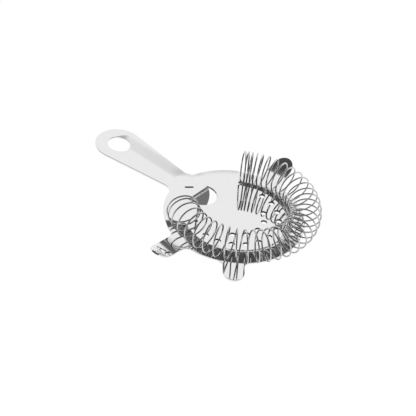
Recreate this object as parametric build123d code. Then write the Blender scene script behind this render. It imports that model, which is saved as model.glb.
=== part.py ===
from build123d import *
from math import cos, hypot, pi, radians, sin, tan
import os

# Hawthorne strainer: a pressed steel plate and the coil spring that lies round its front.
#
# The plate is one sheet of stainless steel: a round disc, a handle, three prongs and a finger
# tab that is lanced out of the disc and bent away from the coil. The frame has its origin at
# the centre of the disc, on the face that carries the coil. +X points away from the handle and
# +Z points from the disc towards the coil. All lengths are in millimetres.

os.makedirs("parts", exist_ok=True)

# ---- sheet and disc ----
SHEET = 1.1  # thickness of the pressed sheet
DISC_R = 38.0

# ---- handle, along -X ----
NECK_X = -36.5  # where the handle's straight sides start, inside the disc
NECK_HALF = 7.3
EYE_X = -82.1  # centre of the hanging hole and of the handle's round end
EYE_R = 6.1
HANDLE_END_R = 13.1
NECK_FILLET_R = 6.0

# ---- trough pressed along the handle ----
TROUGH_DEPTH = 0.7
TROUGH_R = 45.0
TROUGH_FROM_X = -46.0
TROUGH_TO_X = EYE_X

# ---- shoulder that the coil lies against: it dies out towards the handle ----
SHOULDER_X = 1.8  # its ring's centre
SHOULDER_FOOT_R = 27.2  # inner foot of its steep flank
CREST_R = 29.3
CREST_HEIGHT = 1.0  # at the front
SHOULDER_LEAN = 1.0  # degrees that its ring leans down towards the handle
RING_DEPTH = 3.0  # of the shape that presses it

# ---- prongs that rest on the rim of the glass ----
PRONGS = (  # direction, reach from the disc's centre, and heights of the upper face along it
    (-100.0, 57.0, ((34, 0), (40, 0), (44, -0.25), (47.5, -0.75), (51, -0.5), (54, 0.9), (59.5, 4.6))),
    (-51.2, 54.5, ((34, 0), (38, 0.05), (42, 0.4), (46, 0.9), (50, 1.5), (54, 2.2), (59.5, 3.2))),
    (99.0, 59.0, ((34, 0), (38, -0.05), (42, -0.15), (46, -0.15), (50, 0.5), (54, 1.7), (59.5, 3.2))),
)
PRONG_WIDTH = 11.6
PRONG_TIP = 8.0  # length of its rounded end
PRONG_FILLET_R = 4.0

# ---- finger tab and the D-shaped hole that it leaves ----
TAB_HOLE_X = -22.8
TAB_HOLE_R = 8.4
FOLD_X = -25.6
TAB_BEND_R = 1.1  # to the middle of the sheet
TAB_BEND = 72.0  # degrees from the plate
KERF = 0.35

# ---- small slot between the tab and the handle ----
SLOT_X, SLOT_Y = -31.6, 0.0
SLOT_LENGTH, SLOT_WIDTH = 4.6, 0.9
SLOT_TURN = 48.0

# ---- drain holes: two rows round the front ----
DRAIN_R = 1.5
DRAIN_ROWS = (  # radius of the row, degrees between holes, holes on each side of the middle one
    (23.9, 18.0, 5),
    (16.2, 27.0, 2),
)

# ---- coil spring ----
WIRE_R = 0.42
COIL_R = 8.9  # outer radius of the coil
SPINE_R = 33.0  # the coil's own axis is an arc of this radius
SPINE_X = 4.7
SPINE_HALF_ANGLE = 129.0
COIL_LIFT = 0.6  # between the disc's flat face and the coil, which rides on the crest
CLOSE_PITCH = 1.8  # at both ends
NEAR_PITCH, FAR_PITCH = 4.9, 4.4  # over the first and the second half of the axis
NEAR_EASE, FAR_EASE = 7.0, 19.0  # length from each end over which the pitch opens
CORNERS = 8  # of the polygon that each turn is rounded from
ANCHOR_R = 0.9  # hole in the disc for the wire's end
TAIL_DEPTH = 1.6  # how far the end passes below the disc


def flat(sketch, top=0.0, thickness=SHEET):
    """A sketch on the plate's plane made into a slab below the height top."""
    return extrude(Pos(0, 0, top - thickness) * sketch, thickness)


def slab(radius, low, high):
    """A round slab about the disc's axis, between two heights."""
    return Pos(0, 0, (low + high) / 2) * Cylinder(radius, high - low)


def handle_sketch():
    """The handle's outline: straight sides that widen to its round end."""
    side = [(NECK_X, NECK_HALF), (EYE_X, HANDLE_END_R), (EYE_X, -HANDLE_END_R), (NECK_X, -NECK_HALF)]
    return make_face(Polyline(*side, close=True)) + Pos(EYE_X, 0) * Circle(HANDLE_END_R)


def disc_and_handle():
    """Disc and handle in one outline, with rounded corners where they meet."""
    outline = Circle(DISC_R) + handle_sketch()
    inner = [
        v
        for v in outline.vertices()
        if abs(hypot(v.X, v.Y) - DISC_R) < 1e-3 and v.X < 0 and abs(v.Y) < 2 * NECK_HALF
    ]
    return fillet(inner, NECK_FILLET_R)


def shoulder(drop=0.0):
    """The ring of the pressed shoulder, leaning down towards the handle and moved down by drop."""
    steep = CREST_HEIGHT / (CREST_R - SHOULDER_FOOT_R)
    gentle = CREST_HEIGHT / (DISC_R - SHOULDER_X - CREST_R)
    crest = CREST_HEIGHT - CREST_R * sin(radians(SHOULDER_LEAN))
    base = crest - RING_DEPTH
    section = Polyline(
        (CREST_R, 0, crest),
        (CREST_R - RING_DEPTH / steep, 0, base),
        (CREST_R + RING_DEPTH / gentle, 0, base),
        close=True,
    )
    ring = revolve(make_face(section), Axis.Z, 360)
    return Pos(SHOULDER_X, 0, -drop) * Rot(0, -SHOULDER_LEAN, 0) * ring


def trough(extra=0.0):
    """The round-bottomed shape that presses the handle's trough, grown by extra."""
    radius = TROUGH_R + extra
    height = TROUGH_R - TROUGH_DEPTH
    length = TROUGH_FROM_X - TROUGH_TO_X
    bar = Pos(TROUGH_TO_X + length / 2, 0, height) * Rot(0, 90, 0) * Cylinder(radius, length)
    ends = [Pos(x, 0, height) * Sphere(radius) for x in (TROUGH_FROM_X, TROUGH_TO_X)]
    return bar + ends[0] + ends[1]


def prong(angle, reach, heights):
    """One prong: a strip that follows its heights and ends in a round tip."""
    first, last = heights[0], heights[-1]
    top = Spline(*[(x, 0, z) for x, z in heights])
    bottom = Spline(*[(x, 0, z - SHEET) for x, z in heights])
    side = make_face(
        [
            top,
            Line((last[0], 0, last[1]), (last[0], 0, last[1] - SHEET)),
            bottom,
            Line((first[0], 0, first[1]), (first[0], 0, first[1] - SHEET)),
        ]
    )
    strip = Pos(0, PRONG_WIDTH, 0) * extrude(side, 2 * PRONG_WIDTH, dir=(0, -1, 0))
    tip_x = reach - PRONG_TIP
    root_x = first[0]
    plan = Pos((root_x + tip_x) / 2, 0) * Rectangle(tip_x - root_x, PRONG_WIDTH)
    plan += Pos(tip_x, 0) * Ellipse(PRONG_TIP, PRONG_WIDTH / 2)
    return Rot(0, 0, angle) * (strip & Pos(0, 0, -10) * extrude(plan, 30))


def prong_root(angle):
    """The rounded corners where a prong leaves the disc, as a flat piece of outline."""
    length = 12.0
    plan = Circle(DISC_R) + Pos(DISC_R, 0) * Rectangle(length, PRONG_WIDTH)
    corners = [v for v in plan.vertices() if abs(hypot(v.X, v.Y) - DISC_R) < 1e-3]
    plan = fillet([v for v in corners if v.X < DISC_R and abs(v.Y) > 1], PRONG_FILLET_R)
    near_root = Pos(DISC_R, 0) * Rectangle(2.6 * PRONG_FILLET_R, 4 * PRONG_WIDTH)
    return Rot(0, 0, angle) * (plan & near_root)


def tab_hole():
    """The D-shaped hole: a circle cut off at the fold line."""
    ahead = Pos(FOLD_X + TAB_HOLE_R * 1.5, 0) * Rectangle(3 * TAB_HOLE_R, 3 * TAB_HOLE_R)
    return Pos(TAB_HOLE_X, 0) * Circle(TAB_HOLE_R) & ahead


def tab():
    """The finger tab: the material of the D-shaped hole, bent down about the fold line."""
    length = TAB_HOLE_X + TAB_HOLE_R - KERF - FOLD_X
    bend = radians(TAB_BEND)
    arc_length = TAB_BEND_R * bend
    centre = Vector(FOLD_X, 0, -SHEET / 2 - TAB_BEND_R)
    start = Vector(FOLD_X, 0, -SHEET / 2)
    end = centre + Vector(sin(bend), 0, cos(bend)) * TAB_BEND_R
    along = Vector(cos(bend), 0, -sin(bend))
    middle = centre + Vector(sin(bend / 2), 0, cos(bend / 2)) * TAB_BEND_R
    straight = length - arc_length
    section = Plane(start, x_dir=(0, 1, 0), z_dir=(1, 0, 0)) * Rectangle(3 * TAB_HOLE_R, SHEET)
    bent = ThreePointArc(start, middle, end).edge()
    strip = sweep(section, Wire([bent, Line(end, end + along * straight).edge()]))
    outline = Pos(TAB_HOLE_X, 0) * Circle(TAB_HOLE_R - KERF)
    laid = Plane(end, x_dir=along, z_dir=along.cross(Vector(0, 1, 0)))
    blank = laid * Pos(TAB_HOLE_X - FOLD_X - arc_length, 0) * Circle(TAB_HOLE_R - KERF)
    shaped = strip & extrude(blank, 12, both=True)
    root = flat(outline & Pos(FOLD_X, 0) * Rectangle(1.0, 2 * TAB_HOLE_R))
    return shaped + root


def drain_holes():
    """The rows of round holes that let the drink through."""
    spots = [
        Rot(0, 0, step * turn) * Pos(radius, 0) * Circle(DRAIN_R)
        for radius, step, side in DRAIN_ROWS
        for turn in range(-side, side + 1)
    ]
    return Sketch() + spots


def spine(distance):
    """Point on the coil's axis and its direction, distance from the axis's first end."""
    angle = distance / SPINE_R - radians(SPINE_HALF_ANGLE)
    height = COIL_R + COIL_LIFT
    point = Vector(SPINE_X + SPINE_R * cos(angle), SPINE_R * sin(angle), height)
    return point, Vector(-sin(angle), cos(angle), 0)


def eased(value):
    """A smooth step from 0 to 1."""
    share = min(max(value, 0), 1)
    return share * share * (3 - 2 * share)


def pitch(distance):
    """Axial length of one turn: close at both ends of the coil, open over the rest."""
    length = coil_length()
    half_way = eased(2 * distance / length - 0.5)
    free = NEAR_PITCH + (FAR_PITCH - NEAR_PITCH) * half_way
    opened = eased(distance / NEAR_EASE) * eased((length - distance) / FAR_EASE)
    return CLOSE_PITCH + (free - CLOSE_PITCH) * opened


def winding(distance, angle, radius):
    """Point beside the coil's axis: angle 0 is its outer side and a quarter turn is its top."""
    point, along = spine(distance)
    outward = Vector(along.Y, -along.X, 0)
    return point + outward * (radius * cos(angle)) + Vector(0, 0, radius * sin(angle))


def coil_length():
    """Length of the coil's axis."""
    return 2 * radians(SPINE_HALF_ANGLE) * SPINE_R


def coil_corners():
    """Corners of the polygon that winds round the coil's axis, from the inner side up and over."""
    radius = (COIL_R - WIRE_R) / cos(pi / CORNERS)
    corners, distance, turned = [], 0.0, 0
    while distance < coil_length() or turned % CORNERS != CORNERS - 2:
        corners.append(winding(distance, pi - 2 * pi * turned / CORNERS, radius))
        distance += pitch(distance) / CORNERS
        turned += 1
    return corners


def anchors():
    """Where the two ends of the wire pass through the disc."""
    first, last = coil_corners()[0], coil_corners()[-1]
    inward = Vector(SPINE_X, 0, last.Z) - last
    return [Vector(first.X, first.Y, 0), Vector(last.X, last.Y, 0) + inward.normalized() * 3]


def rounded_path(points, share=0.45):
    """Straight runs joined by tangent arcs, each as large as its two runs allow."""
    edges, reached = [], points[0]
    for before, corner, after in zip(points, points[1:], points[2:]):
        back, ahead = (before - corner), (after - corner)
        cut = share * min(back.length, ahead.length)
        turn = pi - radians(back.get_angle(ahead))
        radius = cut / tan(turn / 2)
        enter = corner + back.normalized() * cut
        leave = corner + ahead.normalized() * cut
        inward = (back.normalized() + ahead.normalized()).normalized()
        top = corner + inward * (radius / cos(turn / 2) - radius)
        edges += [Line(reached, enter).edge(), ThreePointArc(enter, top, leave).edge()]
        reached = leave
    return Wire(edges + [Line(reached, points[-1]).edge()])


def coil_spring():
    """The coil: round wire swept along its winding, with both ends turned down through the disc."""
    below = Vector(0, 0, -SHEET - TAIL_DEPTH)
    first, last = anchors()
    corners = coil_corners()
    path = rounded_path([first + below, *corners, Vector(last.X, last.Y, corners[-1].Z), last + below])
    section = Plane(path @ 0, z_dir=path % 0) * Circle(WIRE_R)
    return sweep(section, path)


def strainer_plate():
    """The pressed sheet before its prongs, tab and holes."""
    plate = flat(disc_and_handle())
    for direction, *_ in PRONGS:
        plate += flat(prong_root(direction))
    plate += shoulder() & slab(DISC_R, -SHEET / 4, RING_DEPTH)
    plate -= shoulder(SHEET) & slab(2 * DISC_R, -RING_DEPTH, -SHEET / 10)
    under_trough = (trough(SHEET) - trough()) & flat(handle_sketch(), 0, 3 * SHEET)
    return plate - trough() + under_trough


def strainer_body():
    """The whole sheet-metal body, with its prongs, its tab and its holes."""
    body = strainer_plate()
    for size in PRONGS:
        body += prong(*size)
    holes = tab_hole() + Pos(EYE_X, 0) * Circle(EYE_R) + drain_holes()
    holes += Pos(SLOT_X, SLOT_Y) * Rot(0, 0, SLOT_TURN) * SlotOverall(SLOT_LENGTH, SLOT_WIDTH)
    holes += [Pos(spot.X, spot.Y) * Circle(ANCHOR_R) for spot in anchors()]
    return body - flat(holes, 3 * SHEET, 6 * SHEET) + tab()


for name, solid in (("strainer_body", strainer_body()), ("coil_spring", coil_spring())):
    export_step(solid, f"parts/{name}.step")
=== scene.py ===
"""Looks for the hawthorne strainer: polished sheet body, wound wire coil, white table and soft light.

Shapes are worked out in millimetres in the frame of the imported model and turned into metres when
a mesh is made.
"""

import math

import bpy
import numpy as np
from mathutils import Matrix, Vector
from mathutils.geometry import delaunay_2d_cdt


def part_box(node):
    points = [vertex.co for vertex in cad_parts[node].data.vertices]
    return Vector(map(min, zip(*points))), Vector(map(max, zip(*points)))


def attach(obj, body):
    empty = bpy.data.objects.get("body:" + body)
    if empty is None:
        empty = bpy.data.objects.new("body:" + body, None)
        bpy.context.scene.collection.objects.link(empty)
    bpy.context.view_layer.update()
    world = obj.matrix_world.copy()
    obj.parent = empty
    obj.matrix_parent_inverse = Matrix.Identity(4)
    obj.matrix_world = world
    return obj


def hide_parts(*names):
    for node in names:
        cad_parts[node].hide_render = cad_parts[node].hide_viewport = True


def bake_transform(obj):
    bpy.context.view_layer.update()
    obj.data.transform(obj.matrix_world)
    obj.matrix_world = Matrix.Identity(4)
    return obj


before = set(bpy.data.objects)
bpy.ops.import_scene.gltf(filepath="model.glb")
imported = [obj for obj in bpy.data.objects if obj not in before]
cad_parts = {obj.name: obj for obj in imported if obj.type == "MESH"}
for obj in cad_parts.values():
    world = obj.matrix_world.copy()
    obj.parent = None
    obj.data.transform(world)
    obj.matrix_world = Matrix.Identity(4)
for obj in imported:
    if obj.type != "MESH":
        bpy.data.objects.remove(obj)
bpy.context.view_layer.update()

MM = 0.001

# ---- the sheet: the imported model's sizes, with slightly shorter prongs ----
SHEET = 1.1
EDGE = 0.2  # radius of the rounded edge
DISC_R = 38.0
EYE_X, EYE_R = -82.1, 6.1
HANDLE_END_R = 13.1
HANDLE_SLOPE = 0.127  # widening of each side towards the end
NECK_FILLET_R = 6.0
PRONGS = (  # direction, reach, and heights of the upper face along it
    (-100.0, 56.35, ((34, 0), (40, 0), (44, -0.25), (47.5, -0.75), (51, -0.5), (54, 0.9), (59.5, 4.6))),
    (-51.2, 54.4, ((34, 0), (38, 0.05), (42, 0.4), (46, 0.9), (50, 1.5), (54, 2.2), (59.5, 3.2))),
    (99.0, 58.7, ((34, 0), (38, -0.05), (42, -0.15), (46, -0.15), (50, 0.5), (54, 1.7), (59.5, 3.2))),
)
PRONG_HALF = 5.8
PRONG_TIP = 8.0
PRONG_FILLET_R = 4.0
TAB_HOLE_X, TAB_HOLE_R = -22.8, 8.4
FOLD_X = -25.6
TAB_BEND_R = 1.1
TAB_BEND = math.radians(72.0)
KERF = 0.35
SLOT_X, SLOT_LENGTH, SLOT_WIDTH = -31.6, 4.6, 0.9
SLOT_TURN = math.radians(48.0)
DRAIN_R = 1.5
DRAIN_ROWS = ((23.9, 18.0, 5), (16.2, 27.0, 2))
ANCHOR_R = 0.9
MESH_GAP = 0.30  # least distance between the sheet's inner points and its edges
SMALL_LOOP = 50  # a hole with fewer points than this has dull, sheared walls painted dark as shade

# ---- pressed relief, height above the disc's face ----
SHOULDER_X = 1.8
CREST_R = 29.3
SHOULDER_FOOT_R = 27.0
CREST_HEIGHT = 1.05
SHOULDER_LEAN = math.radians(0.3)
SHOULDER_ENDS = (math.radians(119.5), math.radians(129.0))  # where it starts to die out, and has
RIM_DROP = 0.65  # of the rim below the disc's face, as far round as the shoulder goes
RIM_FLAT = 4.0  # width of the level rim outside the shoulder, beside the handle
RIM_FLAT_FROM, RIM_FLAT_TO = math.radians(75.0), math.radians(110.0)  # where it opens out
RIM_ROLL = 0.28  # rise of the rim on the handle's side
TROUGH_DEPTH = 0.62
TROUGH_SLOPE = math.tan(math.radians(3.8))
TROUGH_FROM_X = -43.0
CREASE_R = 0.9  # softness of the crease along its bottom
END_STEEPER = 1.8  # how much steeper it is behind the hanging hole

# ---- the coil ----
WIRE_R = 0.42
COIL_R = 8.9
SPINE_R = 33.0
SPINE_X = 4.7
SPINE_HALF_ANGLE = math.radians(129.0)
COIL_LIFT = 0.6
CLOSE_PITCH, NEAR_PITCH, FAR_PITCH = 1.8, 4.9, 4.4
NEAR_EASE, FAR_EASE = 7.0, 19.0
TAIL_DEPTH = 1.6
TAIL_RUN = 3.0  # from the last turn inward to the hole
TAIL_BEND = 1.4  # radius


def smooth(t):
    """Smooth step from 0 to 1, for numbers or arrays."""
    t = np.clip(t, 0.0, 1.0)
    return t * t * (3 - 2 * t)


# ---------------------------------------------------------------- outline of the sheet

def arc(x, y, radius, start, end, step=0.55):
    """Points along an arc, without its last one; angles in radians, either way round."""
    count = max(3, math.ceil(abs(end - start) * radius / step))
    angles = start + (end - start) * np.arange(count) / count
    return np.column_stack((x + radius * np.cos(angles), y + radius * np.sin(angles)))


def line(a, b, step=0.8):
    """Points from a towards b, without b."""
    a, b = np.array(a, float), np.array(b, float)
    count = max(1, math.ceil(np.linalg.norm(b - a) / step))
    return a + (b - a) * (np.arange(count) / count)[:, None]


def turned(points, angle):
    """Points turned about the disc's centre."""
    c, s = math.cos(angle), math.sin(angle)
    return points @ np.array([[c, s], [-s, c]])


def limb(tip_x, tip_r, slope, fillet_r, stretch=1.0):
    """One limb that leaves the disc along +X: its outline from the lower to the upper side of the
    disc, and the half angle that it takes out of the disc's circle. stretch lengthens its tip."""
    k = math.hypot(1, slope)
    base = tip_r * k - slope * tip_x + fillet_r * k
    reach = DISC_R + fillet_r
    root = math.sqrt(slope**2 * base**2 - k**2 * (base**2 - reach**2))
    x = (root - slope * base) / k**2
    y = base + slope * x
    half_angle = math.atan2(y, x)
    lean = math.atan(slope)
    foot = (x + fillet_r * slope / k, y - fillet_r / k)
    shoulder = (tip_x - tip_r * slope / k, tip_r / k)
    up = [
        line(shoulder, foot),
        arc(x, y, fillet_r, lean - math.pi / 2, half_angle - math.pi),
    ]
    corner = DISC_R * np.array([[math.cos(half_angle), math.sin(half_angle)]])
    upper = np.vstack([*up, corner])
    lower = (upper * (1, -1))[::-1]
    tip = arc(0, 0, tip_r, -math.pi / 2 - lean, math.pi / 2 + lean) * (stretch, 1) + (tip_x, 0)
    return np.vstack([lower, tip[1:], upper]), half_angle


def sheet_outline():
    """The whole outline of the sheet, counter-clockwise."""
    limbs = []
    for angle, reach, *_ in PRONGS:
        size = (reach - PRONG_TIP, PRONG_HALF, 0.0, PRONG_FILLET_R, PRONG_TIP / PRONG_HALF)
        limbs.append((math.radians(angle), size))
    limbs.append((math.pi, (-EYE_X, HANDLE_END_R, HANDLE_SLOPE, NECK_FILLET_R)))
    parts, reached = [], None
    first_start = None
    for angle, size in limbs:
        shape, half = limb(*size)
        if reached is not None:
            parts.append(arc(0, 0, DISC_R, reached, angle - half)[1:])
        else:
            first_start = angle - half
        parts.append(turned(shape, angle))
        reached = angle + half
    parts.append(arc(0, 0, DISC_R, reached, first_start + 2 * math.pi)[1:])
    return np.vstack(parts)


def hole(x, y, radius, step=0.45):
    """A round hole, clockwise."""
    return arc(x, y, radius, 2 * math.pi, 0.0, step)


def slot_hole():
    """The small slanted slot, clockwise."""
    half, r = (SLOT_LENGTH - SLOT_WIDTH) / 2, SLOT_WIDTH / 2
    quarter = math.pi / 2
    shape = np.vstack([
        arc(half, 0, r, quarter, -quarter, 0.2),
        line((half, -r), (-half, -r), 0.4),
        arc(-half, 0, r, -quarter, -3 * quarter, 0.2),
        line((-half, r), (half, r), 0.4),
    ])
    return turned(shape, SLOT_TURN) + (SLOT_X, 0)


def kerf_hole():
    """The narrow C-shaped cut that frees the tab, clockwise, before the tab is bent."""
    middle = TAB_HOLE_R - KERF / 2
    end = math.acos((FOLD_X - TAB_HOLE_X) / middle)
    cap_x, cap_y = middle * math.cos(end), middle * math.sin(end)
    shape = np.vstack([
        arc(0, 0, TAB_HOLE_R, end, -end, 0.4),
        arc(cap_x, -cap_y, KERF / 2, -end, -end - math.pi, 0.12),
        arc(0, 0, TAB_HOLE_R - KERF, -end, end, 0.4),
        arc(cap_x, cap_y, KERF / 2, end + math.pi, end, 0.12),
    ])
    return shape + (TAB_HOLE_X, 0)


def drain_holes():
    """The rows of drain holes round the front."""
    return [
        hole(radius * math.cos(angle), radius * math.sin(angle), DRAIN_R, 0.4)
        for radius, step, side in DRAIN_ROWS
        for angle in np.radians(step * np.arange(-side, side + 1))
    ]


# ---------------------------------------------------------------- relief of the sheet

def ring_relief(x, y):
    """Pressed shoulder: a quick rise to the crest and a fall to the lowered rim, and on the handle's
    side only a slight upward roll of the rim."""
    r = np.hypot(x - SHOULDER_X, y)
    out = np.hypot(x, y)
    start, end = SHOULDER_ENDS
    around = np.abs(np.arctan2(y, x - SHOULDER_X))
    there = 1 - smooth((around - start) / (end - start))
    crest = CREST_HEIGHT - (CREST_R - (x - SHOULDER_X)) * math.sin(SHOULDER_LEAN)
    rise = crest * (r - SHOULDER_FOOT_R) / (CREST_R - SHOULDER_FOOT_R)
    past_crest = np.maximum(r - CREST_R, 0)
    slope_end = DISC_R - RIM_FLAT * smooth((around - RIM_FLAT_FROM) / (RIM_FLAT_TO - RIM_FLAT_FROM))
    share = np.clip(past_crest / np.maximum(past_crest + slope_end - out, 1e-3), 0.0, 1.2)
    fall = crest - (crest + RIM_DROP) * share * (0.6 + 0.4 * share)
    profile = np.where(r < CREST_R, soft_max(rise, 0.0), fall)
    profile = np.where(np.abs(r - CREST_R) < 1.2, soft_min(soft_max(rise, 0.0), fall), profile)
    profile = soft_max(profile, -RIM_DROP)
    roll = RIM_ROLL * np.clip((out - 29) / 9, 0, 1) ** 2 * smooth((54 - out) / 16)
    roll = roll * smooth((np.abs(y) - 3) / 12)
    return there * profile + (1 - there) * roll * (x < 0)


def soft_max(a, b, soft=0.05):
    """The higher of two slopes, with the bend between them a little rounded."""
    return 0.5 * (a + b + np.sqrt((a - b) ** 2 + soft**2))


def soft_min(a, b, soft=0.05):
    """The lower of two slopes, with the bend between them a little rounded."""
    return 0.5 * (a + b - np.sqrt((a - b) ** 2 + soft**2))


def relief(x, y):
    """Height of the sheet's upper face over the plan."""
    height = ring_relief(x, y)
    u = np.clip(x, EYE_X, TROUGH_FROM_X)
    off = np.hypot((x - u) * np.where(x < EYE_X, END_STEEPER, 1.0), y)
    bowl = TROUGH_DEPTH - TROUGH_SLOPE * (np.hypot(off, CREASE_R) - CREASE_R)
    height = height - 0.5 * (bowl + np.sqrt(bowl * bowl + 0.05**2)) * smooth((-28 - x) / 8)
    for direction, _, heights in PRONGS:
        c, s = math.cos(math.radians(direction)), math.sin(math.radians(direction))
        along, across = x * c + y * s, y * c - x * s
        on_prong = (along > 36) & (np.abs(across) < PRONG_HALF + PRONG_FILLET_R)
        height = height + np.where(on_prong, prong_height(along, heights), 0.0)
    return height


def prong_height(along, heights):
    """Height of a prong's upper face, smoothly through its few stations."""
    at, heights = np.array(heights, float).T
    slopes = np.gradient(heights, at)
    slopes[0] = 0
    a = np.clip(along, at[0], at[-1] - 1e-6)
    i = np.clip(np.searchsorted(at, a, side="right") - 1, 0, len(at) - 2)
    step = at[i + 1] - at[i]
    t = (a - at[i]) / step
    start = (1 + 2 * t) * (1 - t) ** 2 * heights[i] + t * (1 - t) ** 2 * step * slopes[i]
    return start + t * t * (3 - 2 * t) * heights[i + 1] + t * t * (t - 1) * step * slopes[i + 1]


def placed(plan, tab):
    """Position and normal of the sheet's upper face at plan points; tab marks those on the tab."""
    x, y = plan[:, 0], plan[:, 1]
    d = 0.02
    z = relief(x, y)
    dx = (relief(x + d, y) - relief(x - d, y)) / (2 * d)
    dy = (relief(x, y + d) - relief(x, y - d)) / (2 * d)
    normal = np.column_stack((-dx, -dy, np.ones_like(x)))
    normal /= np.linalg.norm(normal, axis=1)[:, None]
    point = np.column_stack((x, y, z))
    past = np.maximum(x - FOLD_X, 0)
    bend = np.minimum(past / TAB_BEND_R, TAB_BEND)
    straight = past - bend * TAB_BEND_R
    bent_normal = np.column_stack((np.sin(bend), np.zeros_like(x), np.cos(bend)))
    centre = np.column_stack((
        FOLD_X + TAB_BEND_R * np.sin(bend) + straight * np.cos(bend) - np.maximum(FOLD_X - x, 0),
        y,
        -SHEET / 2 - TAB_BEND_R * (1 - np.cos(bend)) - straight * np.sin(bend),
    ))
    point[tab] = (centre + bent_normal * SHEET / 2)[tab]
    normal[tab] = bent_normal[tab]
    return point, normal


def on_tab(plan):
    """Which plan points are on the tab."""
    from_centre = np.hypot(plan[:, 0] - TAB_HOLE_X, plan[:, 1])
    return (from_centre < TAB_HOLE_R - KERF / 2) & (plan[:, 0] > FOLD_X)


# ---------------------------------------------------------------- mesh of the sheet

def outward(loop):
    """Unit vectors that point out of the material along a loop."""
    along = np.roll(loop, -1, 0) - np.roll(loop, 1, 0)
    normal = np.column_stack((along[:, 1], -along[:, 0]))
    return normal / np.linalg.norm(normal, axis=1)[:, None]


def inside(points, loop):
    """Which points a closed loop holds."""
    x, y = points[:, :1], points[:, 1:]
    ax, ay = loop[:, 0], loop[:, 1]
    bx, by = np.roll(ax, -1), np.roll(ay, -1)
    crosses = (ay > y) != (by > y)
    with np.errstate(divide="ignore", invalid="ignore"):
        at = ax + (y - ay) * (bx - ax) / (by - ay)
    return (np.sum(crosses & (x < at), axis=1) % 2) == 1


def fill_points():
    """Plan points inside the sheet, close together where the relief curves."""
    radii = np.concatenate([
        np.arange(2.0, 25.0, 2.3),
        np.arange(25.6, 31.2, 0.35),
        np.arange(31.8, DISC_R + SHOULDER_X, 0.8),
    ])
    points = [np.array([[SHOULDER_X, 0.0]])]
    for i, r in enumerate(radii):
        count = max(6, round(2 * math.pi * r / (2.2 if r < 25 else 1.1)))
        angles = (np.arange(count) + (i % 2) / 2) * 2 * math.pi / count
        points.append(np.column_stack((SHOULDER_X + r * np.cos(angles), r * np.sin(angles))))
    across = np.arange(-5.5, 5.6, 1.0)
    for angle, reach, *_ in PRONGS:
        u, v = np.meshgrid(np.arange(DISC_R + 0.5, reach, 0.8), across)
        points.append(turned(np.column_stack((u.ravel(), v.ravel())), math.radians(angle)))
    u, v = np.meshgrid(np.arange(EYE_X - HANDLE_END_R, -DISC_R - 0.3, 0.9), np.arange(-11.7, 11.8, 0.9))
    points.append(np.column_stack((u.ravel(), v.ravel())))
    return np.vstack(points)


def sheet_mesh():
    """The sheet as one closed mesh with rounded edges and its exact normals."""
    anchors = [hole(x, y, ANCHOR_R, 0.3) for x, y in wire_ends()]
    loops = [sheet_outline(), hole(EYE_X, 0, EYE_R), slot_hole(), kerf_hole(), *drain_holes(), *anchors]
    rounds = 5
    turn = np.linspace(0, math.pi / 2, rounds)
    insets = np.concatenate([EDGE * (1 - np.sin(turn)), EDGE * (1 - np.sin(turn[::-1]))])
    depths = np.concatenate([EDGE * (1 - np.cos(turn)), SHEET - EDGE * (1 - np.cos(turn[::-1]))])
    tilts = np.concatenate([turn, math.pi - turn[::-1]])

    rims = [loop - outward(loop) * EDGE for loop in loops]
    candidates = fill_points()
    keep = inside(candidates, rims[0])
    for rim in rims[1:]:
        keep &= ~inside(candidates, rim)
    candidates = candidates[keep]
    all_rims = np.vstack(rims)
    near = np.array([np.min(np.sum((all_rims - p) ** 2, axis=1)) for p in candidates])
    candidates = candidates[near > MESH_GAP**2]
    edges, start = [], 0
    for rim in rims:
        edges += [(start + i, start + (i + 1) % len(rim)) for i in range(len(rim))]
        start += len(rim)
    plan = np.vstack([all_rims, candidates])
    coords = [Vector(p) for p in plan]
    result = delaunay_2d_cdt(coords, edges, [], 0, 1e-6, True)
    out_co, out_faces, origin = result[0], result[2], result[3]
    plan = np.array([(v.x, v.y) for v in out_co])
    faces = np.array([f for f in out_faces if len(f) == 3])
    middles = plan[faces].mean(axis=1)
    keep = inside(middles, rims[0])
    for rim in rims[1:]:
        keep &= ~inside(middles, rim)
    faces = faces[keep]
    index_of = {}
    for new, old in enumerate(origin):
        for o in old:
            index_of[o] = new

    tab = on_tab(plan)
    top, normal = placed(plan, tab)
    count = len(plan)
    vertices = [top, top - normal * SHEET]
    normals = [normal, -normal]
    polygons = [*faces.tolist(), *(faces[:, ::-1] + count).tolist()]
    painted_shade_walls = []
    total = 2 * count
    start = 0
    for loop, rim in zip(loops, rims):
        out = outward(loop)
        size = len(loop)
        here = [index_of[start + i] for i in range(size)]
        start += size
        rings = [here]
        rim_tab = on_tab(rim)
        for inset, depth, tilt in zip(insets[1:-1], depths[1:-1], tilts[1:-1]):
            spot = loop - out * inset
            point, up = placed(spot, rim_tab)
            ahead, _ = placed(spot + out * 0.02, rim_tab)
            side = ahead - point
            side /= np.linalg.norm(side, axis=1)[:, None]
            vertices.append(point - up * depth)
            normals.append(up * math.cos(tilt) + side * math.sin(tilt))
            rings.append(list(range(total, total + size)))
            total += size
        rings.append([i + count for i in here])
        for a, b in zip(rings, rings[1:]):
            for i in range(size):
                j = (i + 1) % size
                polygons.append((a[j], a[i], b[i], b[j]))
                if loop is not loops[0] and size < SMALL_LOOP:
                    painted_shade_walls.append(len(polygons) - 1)
    piece = mesh_object("strainer_sheet", np.vstack(vertices), polygons, np.vstack(normals))
    # the small holes' walls take the dark material, which is painted shade
    for index in painted_shade_walls:
        piece.data.polygons[index].material_index = 1
    return piece


def mesh_object(name, vertices, polygons, normals=None):
    """A smooth-shaded mesh object from points in millimetres."""
    mesh = bpy.data.meshes.new(name)
    mesh.from_pydata((np.asarray(vertices) * MM).tolist(), [], [tuple(p) for p in polygons])
    mesh.validate()
    mesh.polygons.foreach_set("use_smooth", [True] * len(mesh.polygons))
    if normals is not None:
        mesh.normals_split_custom_set_from_vertices(np.asarray(normals).tolist())
    piece = bpy.data.objects.new(name, mesh)
    bpy.context.scene.collection.objects.link(piece)
    return piece


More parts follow.
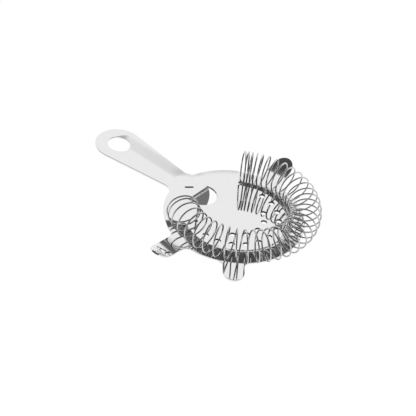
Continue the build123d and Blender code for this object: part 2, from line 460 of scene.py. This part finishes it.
# ---------------------------------------------------------------- the coil

def spine_length():
    """Length of the coil's axis."""
    return 2 * SPINE_HALF_ANGLE * SPINE_R


def pitch(distance):
    """Axial length of a turn: close at both ends of the coil, open over the rest."""
    length = spine_length()
    free = NEAR_PITCH + (FAR_PITCH - NEAR_PITCH) * smooth(2 * distance / length - 0.5)
    opened = smooth(distance / NEAR_EASE) * smooth((length - distance) / FAR_EASE)
    return float(CLOSE_PITCH + (free - CLOSE_PITCH) * opened)


def winding(distance, angle):
    """Point on the wire's centre line: angle 0 is the coil's outer side, a quarter turn its top."""
    around = distance / SPINE_R - SPINE_HALF_ANGLE
    out = SPINE_R + (COIL_R - WIRE_R) * math.cos(angle)
    height = COIL_R + COIL_LIFT + (COIL_R - WIRE_R) * math.sin(angle)
    return (SPINE_X + out * math.cos(around), out * math.sin(around), height)


def wire_turns(steps=48):
    """Centre line of the wound part, from the inner side up and over."""
    points, distance, turned_by = [], 0.0, 0
    last = steps * 3 // 4
    while distance < spine_length() or turned_by % steps != last:
        points.append(winding(distance, math.pi - 2 * math.pi * turned_by / steps))
        distance += pitch(distance) / steps
        turned_by += 1
    return np.array(points)


def wire_ends():
    """Where the wire's two ends pass through the disc."""
    turns = wire_turns()
    first, last = turns[0, :2], turns[-1, :2]
    inward = np.array((SPINE_X, 0.0)) - last
    return [first, last + inward / np.linalg.norm(inward) * TAIL_RUN]


def wire_path():
    """The wire's whole centre line, with its ends turned down through the disc."""
    turns = wire_turns()
    first, last = wire_ends()
    low = -SHEET - TAIL_DEPTH
    head = [(first[0], first[1], z) for z in np.linspace(low, turns[0, 2] - 0.6, 12)]
    bottom = turns[-1, 2]
    flat = np.array((*last, bottom)) - turns[-1]
    reach = np.linalg.norm(flat)
    direction = flat / reach
    straight = reach - TAIL_BEND
    run = [turns[-1] + direction * s for s in np.linspace(0.3, straight, 5)]
    bend = [
        turns[-1]
        + direction * (straight + TAIL_BEND * math.sin(a))
        - np.array((0, 0, TAIL_BEND * (1 - math.cos(a))))
        for a in np.linspace(0, math.pi / 2, 8)[1:]
    ]
    drop = [(last[0], last[1], z) for z in np.linspace(bottom - TAIL_BEND - 0.3, low, 5)]
    return np.vstack([head, turns, run, bend, drop])


def tube(name, path, radius, sides=14):
    """A round tube along a path, with domed ends."""
    tangents = np.gradient(path, axis=0)
    tangents /= np.linalg.norm(tangents, axis=1)[:, None]
    side = np.cross(tangents[0], (0.3, 0.5, 0.8))
    side /= np.linalg.norm(side)
    sides_out = []
    for t in tangents:
        side = side - t * np.dot(side, t)
        side /= np.linalg.norm(side)
        sides_out.append(side)
    sides_out = np.array(sides_out)
    other = np.cross(tangents, sides_out)
    dome = np.radians((15, 35, 60, 80))
    centres = [path[0] - tangents[0] * radius * math.cos(a) for a in dome] + list(path)
    centres += [path[-1] + tangents[-1] * radius * math.cos(a) for a in dome[::-1]]
    radii = [radius * math.sin(a) for a in dome] + [radius] * len(path)
    radii += [radius * math.sin(a) for a in dome[::-1]]
    first, last = [0] * len(dome), [len(path) - 1] * len(dome)
    frames = first + list(range(len(path))) + last
    angles = 2 * math.pi * np.arange(sides) / sides
    rings = [
        c + r * (np.cos(angles)[:, None] * sides_out[f] + np.sin(angles)[:, None] * other[f])
        for c, r, f in zip(centres, radii, frames)
    ]
    polygons = []
    for i in range(len(rings) - 1):
        a, b = i * sides, (i + 1) * sides
        for j in range(sides):
            k = (j + 1) % sides
            polygons.append((a + j, a + k, b + k, b + j))
    polygons.append(tuple(range(sides))[::-1])
    polygons.append(tuple(range((len(rings) - 1) * sides, len(rings) * sides)))
    return mesh_object(name, np.vstack(rings), polygons)


# ---------------------------------------------------------------- materials

def new_material(name):
    """A node material and its Principled shader."""
    material = bpy.data.materials.new(name)
    material.use_nodes = True
    return material, material.node_tree, material.node_tree.nodes["Principled BSDF"]


def polished_sheet():
    """Polished stainless sheet: a near mirror with fine wear."""
    material, tree, shader = new_material("polished_sheet")
    link = tree.links.new
    shader.inputs["Metallic"].default_value = 1.0
    coords = tree.nodes.new("ShaderNodeTexCoord")
    wear = tree.nodes.new("ShaderNodeTexNoise")
    wear.inputs["Scale"].default_value = 260.0
    wear.inputs["Detail"].default_value = 5.0
    link(coords.outputs["Object"], wear.inputs["Vector"])
    rough = tree.nodes.new("ShaderNodeMapRange")
    rough.inputs["To Min"].default_value = 0.03
    rough.inputs["To Max"].default_value = 0.06
    link(wear.outputs["Fac"], rough.inputs["Value"])
    link(rough.outputs["Result"], shader.inputs["Roughness"])
    tone = tree.nodes.new("ShaderNodeMix")
    tone.data_type = "RGBA"
    tone.inputs["A"].default_value = (0.80, 0.80, 0.805, 1)
    tone.inputs["B"].default_value = (0.84, 0.84, 0.84, 1)
    link(wear.outputs["Fac"], tone.inputs["Factor"])
    link(tone.outputs["Result"], shader.inputs["Base Color"])
    bump = tree.nodes.new("ShaderNodeBump")
    bump.inputs["Strength"].default_value = 0.02
    bump.inputs["Distance"].default_value = 0.0002
    link(wear.outputs["Fac"], bump.inputs["Height"])
    link(bump.outputs["Normal"], shader.inputs["Normal"])
    return material


def cut_edge_painted_shade():
    """Sheared walls of the small holes: dull and streaked through the sheet's thickness, with a dark
    base colour that is painted shade inside the holes.
    """
    material, tree, shader = new_material("cut_edge_painted_shade")
    link = tree.links.new
    shader.inputs["Metallic"].default_value = 1.0
    shader.inputs["Roughness"].default_value = 0.45
    coords = tree.nodes.new("ShaderNodeTexCoord")
    stretch = tree.nodes.new("ShaderNodeMapping")
    stretch.inputs["Scale"].default_value = (2400.0, 2400.0, 200.0)
    streaks = tree.nodes.new("ShaderNodeTexNoise")
    streaks.inputs["Scale"].default_value = 1.0
    link(coords.outputs["Object"], stretch.inputs["Vector"])
    link(stretch.outputs["Vector"], streaks.inputs["Vector"])
    # painted shade: the walls' dark base colour stands in for the shade inside the small holes
    tone = tree.nodes.new("ShaderNodeMix")
    tone.data_type = "RGBA"
    tone.inputs["A"].default_value = (0.10, 0.10, 0.105, 1)
    tone.inputs["B"].default_value = (0.24, 0.24, 0.24, 1)
    link(streaks.outputs["Fac"], tone.inputs["Factor"])
    link(tone.outputs["Result"], shader.inputs["Base Color"])
    return material


def spring_wire():
    """Bright drawn wire."""
    material, tree, shader = new_material("spring_wire")
    link = tree.links.new
    shader.inputs["Metallic"].default_value = 1.0
    coords = tree.nodes.new("ShaderNodeTexCoord")
    wear = tree.nodes.new("ShaderNodeTexNoise")
    wear.inputs["Scale"].default_value = 900.0
    link(coords.outputs["Object"], wear.inputs["Vector"])
    rough = tree.nodes.new("ShaderNodeMapRange")
    rough.inputs["To Min"].default_value = 0.05
    rough.inputs["To Max"].default_value = 0.10
    link(wear.outputs["Fac"], rough.inputs["Value"])
    link(rough.outputs["Result"], shader.inputs["Roughness"])
    tone = tree.nodes.new("ShaderNodeMix")
    tone.data_type = "RGBA"
    tone.inputs["A"].default_value = (0.52, 0.52, 0.53, 1)
    tone.inputs["B"].default_value = (0.62, 0.62, 0.62, 1)
    link(wear.outputs["Fac"], tone.inputs["Factor"])
    link(tone.outputs["Result"], shader.inputs["Base Color"])
    return material


# ---------------------------------------------------------------- pieces

sheet = sheet_mesh()
sheet.data.materials.append(polished_sheet())
sheet.data.materials.append(cut_edge_painted_shade())
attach(sheet, "plate")
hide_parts("strainer_body")

coil = tube("wound_coil", wire_path(), WIRE_R)
coil.data.materials.append(spring_wire())
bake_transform(coil)
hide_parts("coil_spring")


# ---------------------------------------------------------------- table, light and camera

TABLE_SLOPE_X, TABLE_SLOPE_Y = 0.1461, -0.0252  # the strainer leans forward on its tab
TAB_FOOT_X = -0.0221


def table_height(x, y, lift=0.0):
    """Height of the table under a point: it touches the tab and the rim at the front."""
    low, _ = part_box("strainer_body")
    return low.z + lift + (x - TAB_FOOT_X) * TABLE_SLOPE_X + y * TABLE_SLOPE_Y


def glow_material(name, colour, strength):
    """A matt surface with a steady glow of its own."""
    material, _, shader = new_material(name)
    shader.inputs["Base Color"].default_value = (colour, colour, colour, 1)
    shader.inputs["Roughness"].default_value = 0.9
    shader.inputs["Specular IOR Level"].default_value = 0.0
    shader.inputs["Emission Color"].default_value = (1, 1, 1, 1)
    shader.inputs["Emission Strength"].default_value = strength
    return material


def table_top():
    """The white table."""
    size = 3.0
    plan = ((-size, -size), (size, -size), (size, size), (-size, size))
    corners = [(x, y, table_height(x, y)) for x, y in plan]
    mesh = bpy.data.meshes.new("table_top")
    mesh.from_pydata(corners, [], [(0, 1, 2, 3)])
    mesh.materials.append(glow_material("white_table", 0.12, 0.95))
    floor = bpy.data.objects.new("table_top", mesh)
    bpy.context.scene.collection.objects.link(floor)


def shade_under_disc():
    """A dim glowing card under the disc, never seen by the camera: a painted shadow that stands in for
    the table's shade there and darkens the reflection in the tab.
    """
    sides, radius, middle_x = 48, 0.034, 0.002
    ring = [2 * math.pi * i / sides for i in range(sides)]
    spots = [(middle_x + radius * math.cos(a), radius * math.sin(a)) for a in ring]
    mesh = bpy.data.meshes.new("under_shade")
    mesh.from_pydata([(x, y, table_height(x, y, 0.0002)) for x, y in spots], [], [tuple(range(sides))])
    # painted shadow: a faint glow in place of the shaded table under the disc
    mesh.materials.append(glow_material("painted_shadow_card", 0.1, 0.16))
    card = bpy.data.objects.new("under_shade", mesh)
    card.visible_camera = False
    card.visible_shadow = False
    bpy.context.scene.collection.objects.link(card)


BRIGHT_SIDE = math.radians(124.4)  # azimuth of the bright backdrop, from +X: opposite the camera
BRIGHT_PULL = 0.55


def studio():
    """A bright backdrop up to middle height on one side, dark overhead and on the other side."""
    world = bpy.data.worlds.new("studio")
    bpy.context.scene.world = world
    world.use_nodes = True
    tree = world.node_tree
    coords = tree.nodes.new("ShaderNodeTexCoord")
    height = tree.nodes.new("ShaderNodeVectorMath")
    height.operation = "DOT_PRODUCT"
    away = (-BRIGHT_PULL * math.cos(BRIGHT_SIDE), -BRIGHT_PULL * math.sin(BRIGHT_SIDE), 1.0)
    height.inputs[1].default_value = away
    tree.links.new(coords.outputs["Generated"], height.inputs[0])
    ramp = tree.nodes.new("ShaderNodeValToRGB")
    stops = ((0.0, 1.0), (0.27, 1.0), (0.42, 0.16), (0.62, 0.08), (1.0, 0.05))
    ramp.color_ramp.elements[0].position = stops[0][0]
    ramp.color_ramp.elements[1].position = stops[-1][0]
    for at, _ in stops[1:-1]:
        ramp.color_ramp.elements.new(at)
    for element, (_, level) in zip(ramp.color_ramp.elements, stops):
        element.color = (level, level, level, 1)
    tree.links.new(height.outputs["Value"], ramp.inputs["Fac"])
    tree.links.new(ramp.outputs["Color"], tree.nodes["Background"].inputs["Color"])
    light = bpy.data.lights.new("overhead", "AREA")
    light.shape = "DISK"
    light.size = 1.2
    light.energy = 6.0
    lamp = bpy.data.objects.new("overhead", light)
    lamp.location = (0.15, -0.1, 1.3)
    lamp.visible_glossy = False
    bpy.context.scene.collection.objects.link(lamp)


CAMERA_AZIMUTH, CAMERA_ELEVATION, CAMERA_ROLL = map(math.radians, (34.36, 39.04, 8.6))
VIEW_WIDTH = 0.221  # metres across the picture at the disc
AIM_LEFT, AIM_UP = 0.0140, 0.0038  # from the disc's centre to the middle of the picture, in metres
LENS, SENSOR = 200.0, 36.0


def camera():
    """A long lens, high on the coil's side, a little rolled, aimed just beyond the disc's centre."""
    data = bpy.data.cameras.new("camera")
    data.lens, data.sensor_width = LENS, SENSOR
    view = bpy.data.objects.new("camera", data)
    a, e = CAMERA_AZIMUTH, CAMERA_ELEVATION
    back = Vector((math.sin(a) * math.cos(e), -math.cos(a) * math.cos(e), math.sin(e)))
    up = (Vector((0, 0, 1)) - back * back.z).normalized()
    right = up.cross(back)
    c, s = math.cos(CAMERA_ROLL), math.sin(CAMERA_ROLL)
    right, up = right * c + up * s, up * c - right * s
    aim = up * AIM_UP - right * AIM_LEFT
    place = aim + back * (LENS / SENSOR * VIEW_WIDTH)
    view.matrix_world = Matrix.Translation(place) @ Matrix((right, up, back)).transposed().to_4x4()
    data.clip_start, data.clip_end = 0.01, 20.0
    bpy.context.scene.collection.objects.link(view)
    bpy.context.scene.camera = view


table_top()
shade_under_disc()
studio()
camera()
bpy.context.scene.view_settings.view_transform = "Standard"
